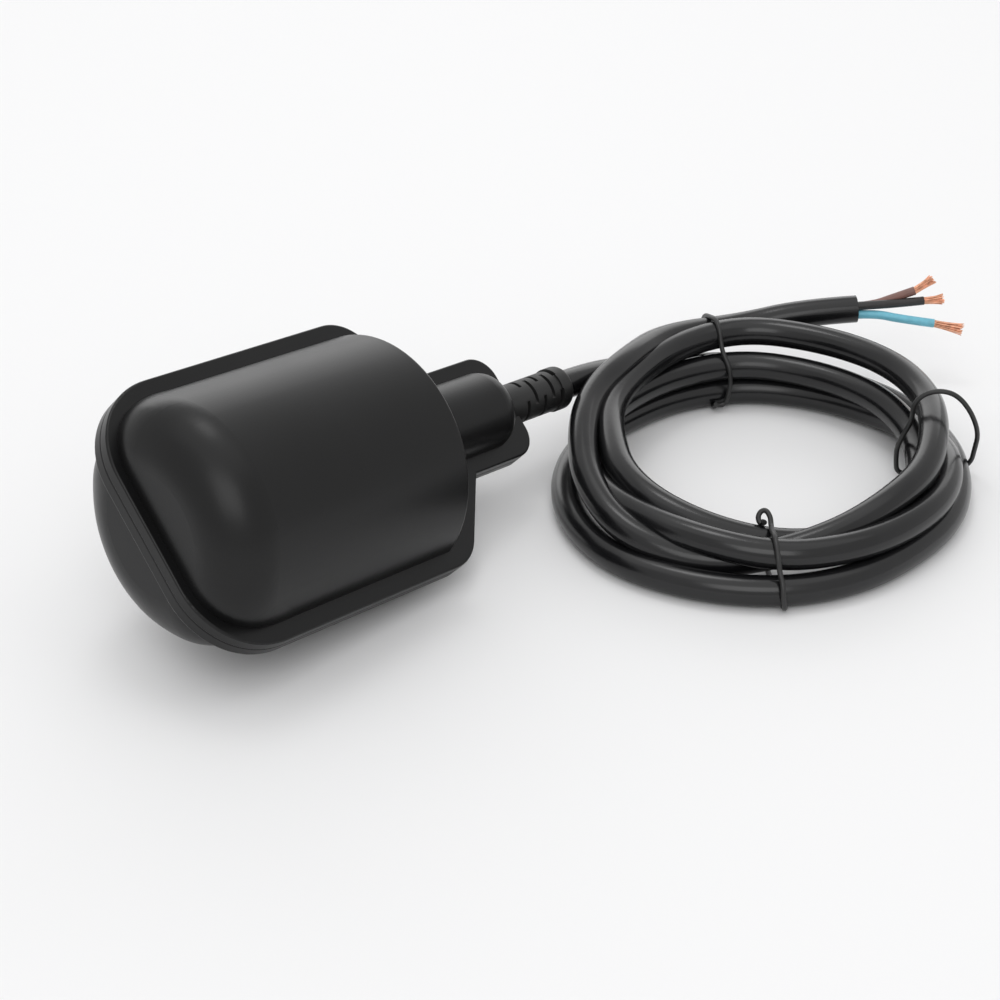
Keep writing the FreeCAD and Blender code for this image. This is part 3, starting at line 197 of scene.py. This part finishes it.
def surface_group():
    """Shader group: slow colour and gloss changes, and a fine moulded grain."""
    group = bpy.data.node_groups.new("moulded_surface", "ShaderNodeTree")
    face = group.interface
    for label, kind, value in (
            ("Colour", "NodeSocketColor", (0.02, 0.02, 0.02, 1)),
            ("Lift", "NodeSocketFloat", 0.3),
            ("Patch Size", "NodeSocketFloat", 40.0),
            ("Smooth", "NodeSocketFloat", 0.3),
            ("Dull", "NodeSocketFloat", 0.45),
            ("Grain Size", "NodeSocketFloat", 1500.0),
            ("Grain Depth", "NodeSocketFloat", 0.00002)):
        socket = face.new_socket(label, in_out="INPUT", socket_type=kind)
        socket.default_value = value
    for label, kind in (("Colour", "NodeSocketColor"), ("Roughness", "NodeSocketFloat"),
                        ("Normal", "NodeSocketVector")):
        face.new_socket(label, in_out="OUTPUT", socket_type=kind)
    given = group.nodes.new("NodeGroupInput")
    result = group.nodes.new("NodeGroupOutput")
    place = group.nodes.new("ShaderNodeTexCoord")
    patches = group.nodes.new("ShaderNodeTexNoise")
    patches.inputs["Detail"].default_value = 4
    grain = group.nodes.new("ShaderNodeTexNoise")
    grain.inputs["Detail"].default_value = 3
    for texture, label in ((patches, "Patch Size"), (grain, "Grain Size")):
        group.links.new(place.outputs["Object"], texture.inputs["Vector"])
        group.links.new(given.outputs[label], texture.inputs["Scale"])
    spread = group.nodes.new("ShaderNodeMapRange")
    spread.inputs["From Min"].default_value = 0.35
    spread.inputs["From Max"].default_value = 0.65
    group.links.new(patches.outputs["Fac"], spread.inputs["Value"])
    lifted = group.nodes.new("ShaderNodeMix")
    lifted.data_type = "RGBA"
    lifted.blend_type = "MULTIPLY"
    lifted.inputs["Factor"].default_value = 1.0
    scale = group.nodes.new("ShaderNodeMath")
    scale.operation = "MULTIPLY_ADD"
    scale.inputs[2].default_value = 1.0
    group.links.new(spread.outputs["Result"], scale.inputs[0])
    group.links.new(given.outputs["Lift"], scale.inputs[1])
    group.links.new(given.outputs["Colour"], lifted.inputs["A"])
    group.links.new(scale.outputs[0], lifted.inputs["B"])
    gloss = group.nodes.new("ShaderNodeMapRange")
    group.links.new(spread.outputs["Result"], gloss.inputs["Value"])
    group.links.new(given.outputs["Smooth"], gloss.inputs["To Min"])
    group.links.new(given.outputs["Dull"], gloss.inputs["To Max"])
    bump = group.nodes.new("ShaderNodeBump")
    bump.inputs["Strength"].default_value = 1.0
    group.links.new(given.outputs["Grain Depth"], bump.inputs["Distance"])
    group.links.new(grain.outputs["Fac"], bump.inputs["Height"])
    group.links.new(lifted.outputs["Result"], result.inputs["Colour"])
    group.links.new(gloss.outputs["Result"], result.inputs["Roughness"])
    group.links.new(bump.outputs["Normal"], result.inputs["Normal"])
    return group


MOULDED = surface_group()


def moulded_material(name, colour, metallic=0.0, specular=0.5, **values):
    """A material whose colour, gloss and grain come from the moulded group."""
    material, tree, shader = new_material(name)
    surface = tree.nodes.new("ShaderNodeGroup")
    surface.node_tree = MOULDED
    surface.inputs["Colour"].default_value = (*colour, 1)
    for label, value in values.items():
        surface.inputs[label.replace("_", " ")].default_value = value
    shader.inputs["Metallic"].default_value = metallic
    shader.inputs["Specular IOR Level"].default_value = specular
    tree.links.new(surface.outputs["Colour"], shader.inputs["Base Color"])
    tree.links.new(surface.outputs["Roughness"], shader.inputs["Roughness"])
    tree.links.new(surface.outputs["Normal"], shader.inputs["Normal"])
    return material


sheath_pvc = moulded_material("sheath_pvc", (0.005, 0.005, 0.0055), specular=0.5,
                              Lift=0.5, Patch_Size=60, Smooth=0.18, Dull=0.26,
                              Grain_Size=900, Grain_Depth=0.00001)
cord.data.materials.append(sheath_pvc)
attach(cord, "float")
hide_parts("cord_lead", "cord_coil", "cord_tail")

# ------------------------------------------------------------------ the bare end
# The sheath is cut square and stripped back. Three insulated cores fan out of it,
# brown, black and blue, each with a bundle of fine copper strands at its tip.

CORE_RADIUS = 1.12 * MM
STRAND_ROOT = 0.4 * MM      # how far the strands start inside the insulation
GOLDEN_ANGLE = 2.39996      # radians from one wire of a bundle to the next
WIRE_POINTS = 7
WIRE_SIDES = 6
cut_end = cord_points[-1]
cut_ahead = (cord_points[-1] - cord_points[-2]).normalized()
cut_left = Vector((0, 0, 1)).cross(cut_ahead).normalized()
cut_up = cut_ahead.cross(cut_left)
# ahead, to the left and up from the middle of the sheath's cut end
CORES = {
    "brown": ([(-2, 1.25, 0.0), (4.5, 1.25, 0.1), (9.5, 1.2, 1.7), (15.3, 1.3, 3.4)],
              (20.0, 2.0, 6.0), (0.16, 0.075, 0.06)),
    "black": ([(-2, -0.45, 1.0), (4.5, -0.45, 1.0), (10, -0.1, 0.8),
               (17.5, 0.3, 0.9)],
              (22.5, 0.2, 1.0), (0.02, 0.018, 0.018)),
    "blue": ([(-2, -0.9, -1.15), (4.5, -0.9, -1.15), (11, -2.4, -2.5),
              (19.5, -3.6, -3.8)],
             (26.4, -5.2, -5.3), (0.14, 0.42, 0.53)),
}


def from_cut(spot):
    """The place of a spot given in millimetres from the sheath's cut end."""
    ahead, left, up = (size * MM for size in spot)
    return cut_end + cut_ahead * ahead + cut_left * left + cut_up * up


def strand_tree():
    """Geometry tree: a bundle of fine wires along z that splays towards its tip."""
    tree = bpy.data.node_groups.new("strand_bundle", "GeometryNodeTree")
    face = tree.interface
    for label, kind, value in (
            ("Wires", "NodeSocketInt", 24), ("Length", "NodeSocketFloat", 0.006),
            ("Root Radius", "NodeSocketFloat", 0.0007),
            ("Splay", "NodeSocketFloat", 0.8), ("Kink", "NodeSocketFloat", 0.0003),
            ("Wire Radius", "NodeSocketFloat", 0.0001), ("Seed", "NodeSocketInt", 0),
            ("Finish", "NodeSocketMaterial", None)):
        socket = face.new_socket(label, in_out="INPUT", socket_type=kind)
        if value is not None:
            socket.default_value = value
    face.new_socket("Geometry", in_out="OUTPUT", socket_type="NodeSocketGeometry")
    link = tree.links.new
    given = tree.nodes.new("NodeGroupInput")
    result = tree.nodes.new("NodeGroupOutput")

    def math_node(operation, first, second=None):
        node = tree.nodes.new("ShaderNodeMath")
        node.operation = operation
        for socket, value in zip(node.inputs, (first, second)):
            if isinstance(value, (int, float)):
                socket.default_value = value
            elif value is not None:
                link(value, socket)
        return node.outputs[0]

    index = tree.nodes.new("GeometryNodeInputIndex").outputs[0]
    share = math_node("DIVIDE", math_node("ADD", index, 0.5), given.outputs["Wires"])
    ring = math_node("MULTIPLY", math_node("SQRT", share), given.outputs["Root Radius"])
    angle = math_node("MULTIPLY", index, GOLDEN_ANGLE)
    place = tree.nodes.new("ShaderNodeCombineXYZ")
    link(math_node("MULTIPLY", ring, math_node("COSINE", angle)), place.inputs["X"])
    link(math_node("MULTIPLY", ring, math_node("SINE", angle)), place.inputs["Y"])
    line = tree.nodes.new("GeometryNodeMeshLine")
    link(given.outputs["Wires"], line.inputs["Count"])
    spots = tree.nodes.new("GeometryNodeSetPosition")
    link(line.outputs[0], spots.inputs["Geometry"])
    link(place.outputs[0], spots.inputs["Position"])
    kick = tree.nodes.new("FunctionNodeRandomValue")
    kick.data_type = "FLOAT_VECTOR"
    kick.inputs["Min"].default_value = (-1, -1, -1)
    kick.inputs["Max"].default_value = (1, 1, 1)
    link(given.outputs["Seed"], kick.inputs["Seed"])
    kept = tree.nodes.new("GeometryNodeStoreNamedAttribute")
    kept.data_type = "FLOAT_VECTOR"
    kept.domain = "POINT"
    kept.inputs["Name"].default_value = "kick"
    link(spots.outputs[0], kept.inputs["Geometry"])
    link(kick.outputs[0], kept.inputs["Value"])
    wire = tree.nodes.new("GeometryNodeCurvePrimitiveLine")
    top = tree.nodes.new("ShaderNodeCombineXYZ")
    link(given.outputs["Length"], top.inputs["Z"])
    link(top.outputs[0], wire.inputs["End"])
    divided = tree.nodes.new("GeometryNodeResampleCurve")
    divided.inputs["Count"].default_value = WIRE_POINTS
    link(wire.outputs[0], divided.inputs["Curve"])
    copies = tree.nodes.new("GeometryNodeInstanceOnPoints")
    link(kept.outputs[0], copies.inputs["Points"])
    link(divided.outputs[0], copies.inputs["Instance"])
    real = tree.nodes.new("GeometryNodeRealizeInstances")
    link(copies.outputs[0], real.inputs[0])
    where = tree.nodes.new("ShaderNodeSeparateXYZ")
    link(tree.nodes.new("GeometryNodeInputPosition").outputs[0], where.inputs[0])
    along = math_node("DIVIDE", where.outputs["Z"], given.outputs["Length"])
    bent = math_node("MULTIPLY", along, along)
    spread = math_node("MULTIPLY", bent, given.outputs["Splay"])
    own_kick = tree.nodes.new("GeometryNodeInputNamedAttribute")
    own_kick.data_type = "FLOAT_VECTOR"
    own_kick.inputs["Name"].default_value = "kick"
    kicked = tree.nodes.new("ShaderNodeVectorMath")
    kicked.operation = "SCALE"
    link(own_kick.outputs[0], kicked.inputs[0])
    link(math_node("MULTIPLY", bent, given.outputs["Kink"]), kicked.inputs["Scale"])
    flat = tree.nodes.new("ShaderNodeCombineXYZ")
    link(math_node("MULTIPLY", where.outputs["X"], spread), flat.inputs["X"])
    link(math_node("MULTIPLY", where.outputs["Y"], spread), flat.inputs["Y"])
    offset = tree.nodes.new("ShaderNodeVectorMath")
    offset.operation = "ADD"
    link(flat.outputs[0], offset.inputs[0])
    link(kicked.outputs[0], offset.inputs[1])
    splayed = tree.nodes.new("GeometryNodeSetPosition")
    link(real.outputs[0], splayed.inputs["Geometry"])
    link(offset.outputs[0], splayed.inputs["Offset"])
    round_wire = tree.nodes.new("GeometryNodeCurvePrimitiveCircle")
    round_wire.inputs["Resolution"].default_value = WIRE_SIDES
    link(given.outputs["Wire Radius"], round_wire.inputs["Radius"])
    solid = tree.nodes.new("GeometryNodeCurveToMesh")
    solid.inputs["Fill Caps"].default_value = True
    link(splayed.outputs[0], solid.inputs["Curve"])
    link(round_wire.outputs[0], solid.inputs["Profile Curve"])
    together = tree.nodes.new("GeometryNodeRealizeInstances")
    link(solid.outputs[0], together.inputs[0])
    painted = tree.nodes.new("GeometryNodeSetMaterial")
    link(together.outputs[0], painted.inputs["Geometry"])
    link(given.outputs["Finish"], painted.inputs["Material"])
    link(painted.outputs[0], result.inputs["Geometry"])
    return tree


def grown(name, tree, values, matrix):
    """The plain mesh that a geometry tree makes, moved to its place."""
    seed_mesh = bpy.data.meshes.new(name + "_seed")
    seed = bpy.data.objects.new(name + "_seed", seed_mesh)
    bpy.context.scene.collection.objects.link(seed)
    modifier = seed.modifiers.new("tree", "NODES")
    modifier.node_group = tree
    for item in tree.interface.items_tree:
        if item.item_type == "SOCKET" and item.name in values:
            modifier[item.identifier] = values[item.name]
    bpy.context.view_layer.update()
    graph = bpy.context.evaluated_depsgraph_get()
    mesh = bpy.data.meshes.new_from_object(seed.evaluated_get(graph))
    seed.modifiers.remove(modifier)
    bpy.data.objects.remove(seed)
    mesh.transform(matrix)
    mesh.name = name
    piece = bpy.data.objects.new(name, mesh)
    bpy.context.scene.collection.objects.link(piece)
    return piece


copper = moulded_material("bare_copper", (0.93, 0.50, 0.33), metallic=1.0, Lift=-0.35,
                          Patch_Size=700, Smooth=0.28, Dull=0.42, Grain_Size=4000,
                          Grain_Depth=0.000004)
STRANDS = strand_tree()
end_pieces = []
for seed, (colour, (spots, tip, paint)) in enumerate(CORES.items()):
    insulation = moulded_material(f"insulation_{colour}", paint, Lift=0.25,
                                  Patch_Size=300, Smooth=0.3, Dull=0.42,
                                  Grain_Size=2500, Grain_Depth=0.000006)
    core = new_curve(f"stripped_core_{colour}", [from_cut(s) for s in spots],
                     CORE_RADIUS, sides=5)
    core.data.materials.append(insulation)
    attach(core, "float")
    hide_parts(f"core_{colour}")
    start = from_cut(spots[-1])
    ahead = from_cut(tip) - start
    turn = ahead.to_track_quat("Z", "Y").to_matrix().to_4x4()
    bundle = grown(f"copper_{colour}", STRANDS,
                   {"Wires": 30, "Length": ahead.length + STRAND_ROOT,
                    "Root Radius": 0.85 * MM, "Splay": 0.6, "Kink": 0.35 * MM,
                    "Wire Radius": 0.13 * MM, "Seed": seed, "Finish": copper},
                   Matrix.Translation(start - ahead.normalized() * STRAND_ROOT) @ turn)
    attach(bundle, "float")
    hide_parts(f"strands_{colour}")
    end_pieces += [core, bundle]

# ------------------------------------------------------------------ wire ties
# Three plastic-coated wire ties hold the coil. Each loops round the bundle where it
# is tied and ends in a short twisted knot; the one on the right stands off in an arch.

TIE_RADIUS = 0.6 * MM
# degrees clockwise from the coil's start, distance from the middle, height
TIES = {
    "back": [(-9, 42.4, 2.2), (-6.4, 42.6, 1.6), (-5, 42.6, 5.0), (-4.6, 42.5, 8.4),
             (-5, 43.2, 12.0), (-6.8, 45.8, 15.0), (-7.2, 47.4, 17.4),
             (-7.4, 48.6, 20.2), (-7.8, 51.6, 21.6), (-8.4, 56.0, 20.2),
             (-8.8, 60.2, 18.8), (-9, 62.2, 14.0), (-9, 61.4, 6.0), (-9, 58.0, 0.7),
             (-9, 48.0, 0.7), (-9.6, 43.0, 1.0), (-9.4, 42.0, 2.6)],
    "right": [(77, 49.0, 0.7), (76, 38.0, 0.7), (75.6, 34.8, 1.6), (75.6, 34.4, 5.0),
              (75.6, 34.3, 8.0), (77.4, 35.0, 12.0), (79, 36.7, 16.4),
              (79, 36.4, 20.4), (79.2, 38.6, 23.2), (81, 42.4, 24.6),
              (82.2, 46.4, 23.4), (83.4, 49.8, 19.2), (82.4, 52.4, 13.0),
              (80.2, 52.6, 7.6), (78, 52.9, 2.4), (77.4, 50.0, 0.9)],
    "front": [(185.4, 34.0, 12.2), (186.8, 33.0, 12.6), (186.2, 31.8, 14.0),
              (183.8, 31.6, 14.6), (182, 33.2, 13.8), (181.8, 35.4, 12.4),
              (182, 39.6, 13.8), (181.6, 43.6, 15.0), (181.1, 48.0, 12.8),
              (180.4, 49.0, 8.6), (179.8, 51.2, 7.4), (179.6, 52.8, 3.6),
              (178.8, 51.6, 0.8), (180, 46.0, 0.7), (182.4, 33.6, 0.7),
              (184, 30.6, 4.0), (184.6, 30.8, 9.0), (185.2, 32.6, 12.4),
              (184.2, 34.6, 13.0)],
}
tie_coat = moulded_material("tie_coat", (0.014, 0.014, 0.014), Lift=0.4,
                            Patch_Size=200, Smooth=0.35, Dull=0.5, Grain_Size=2500,
                            Grain_Depth=0.00001)
for side, spots in TIES.items():
    points = []
    for turned, reach, height in spots:
        angle = math.radians(COIL_START - turned)
        out = Vector((math.cos(angle), math.sin(angle), 0)) * reach
        points.append((COIL_MIDDLE + out + Vector((0, 0, height))) * MM)
    tie = new_curve(f"wire_tie_{side}", points, TIE_RADIUS, sides=4)
    tie.data.materials.append(tie_coat)
    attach(tie, "float")
    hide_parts(f"tie_{side}")

# ------------------------------------------------------------------ the shells
# Two polypropylene mouldings, welded at their flanges all round. The outside is
# satin black straight from the mould, with faint flow marks along the float.

shell_black = moulded_material("shell_black", (0.004, 0.004, 0.0042), specular=0.32,
                               Lift=0.5, Patch_Size=18, Smooth=0.30, Dull=0.36,
                               Grain_Size=2200, Grain_Depth=0.00001)
boot_rubber = moulded_material("boot_rubber", (0.012, 0.012, 0.012), specular=0.4,
                               Lift=0.5, Patch_Size=120, Smooth=0.42, Dull=0.55,
                               Grain_Size=2600, Grain_Depth=0.00002)


def finish_node(material, *names):
    """Gives every slot of these CAD nodes one material."""
    for name in names:
        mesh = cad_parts[name].data
        if not mesh.materials:
            mesh.materials.append(material)
        for number in range(len(mesh.materials)):
            mesh.materials[number] = material


finish_node(shell_black, "upper_shell", "lower_shell")
finish_node(boot_rubber, "cable_boot", "neck_seal")

# ------------------------------------------------------------------ inside the float
# The steel ball in its channel, the moulded carrier and the microswitch with its
# brass strips, the screws and the inner leads. All of it is hidden by the shells.

steel = moulded_material("bright_steel", (0.62, 0.62, 0.64), metallic=1.0, Lift=-0.2,
                         Patch_Size=300, Smooth=0.12, Dull=0.25, Grain_Size=3000,
                         Grain_Depth=0.000002)
plated = moulded_material("plated_steel", (0.55, 0.54, 0.5), metallic=1.0, Lift=-0.3,
                          Patch_Size=500, Smooth=0.25, Dull=0.4, Grain_Size=3000,
                          Grain_Depth=0.000004)
brass = moulded_material("terminal_brass", (0.75, 0.58, 0.28), metallic=1.0, Lift=-0.25,
                         Patch_Size=500, Smooth=0.25, Dull=0.38, Grain_Size=3000,
                         Grain_Depth=0.000004)
carrier_grey = moulded_material("carrier_plastic", (0.55, 0.55, 0.53), Lift=0.1,
                                Patch_Size=60, Smooth=0.4, Dull=0.5, Grain_Size=2000,
                                Grain_Depth=0.00001)
case_black = moulded_material("switch_case", (0.03, 0.03, 0.032), Lift=0.3,
                              Patch_Size=100, Smooth=0.35, Dull=0.45, Grain_Size=2000,
                              Grain_Depth=0.00001)
plunger_red = moulded_material("switch_plunger", (0.45, 0.03, 0.02), Lift=0.2,
                               Patch_Size=400, Smooth=0.3, Dull=0.4, Grain_Size=3000,
                               Grain_Depth=0.000005)
finish_node(steel, "ball", "ms_lever", "lever_pin", "ms_blade")
finish_node(plated, "clamp_screws", "carrier_screws", "lid_screws", "ms_screws")
finish_node(brass, "contact_common", "contact_open", "contact_closed", "crimps")
finish_node(carrier_grey, "switch_carrier", "channel_lid", "cord_clamp")
finish_node(case_black, "ms_case", "ms_cover")
finish_node(plunger_red, "ms_plunger")
finish_node(sheath_pvc, "cord_root")
for colour in CORES:
    finish_node(bpy.data.materials[f"insulation_{colour}"], f"lead_{colour}")
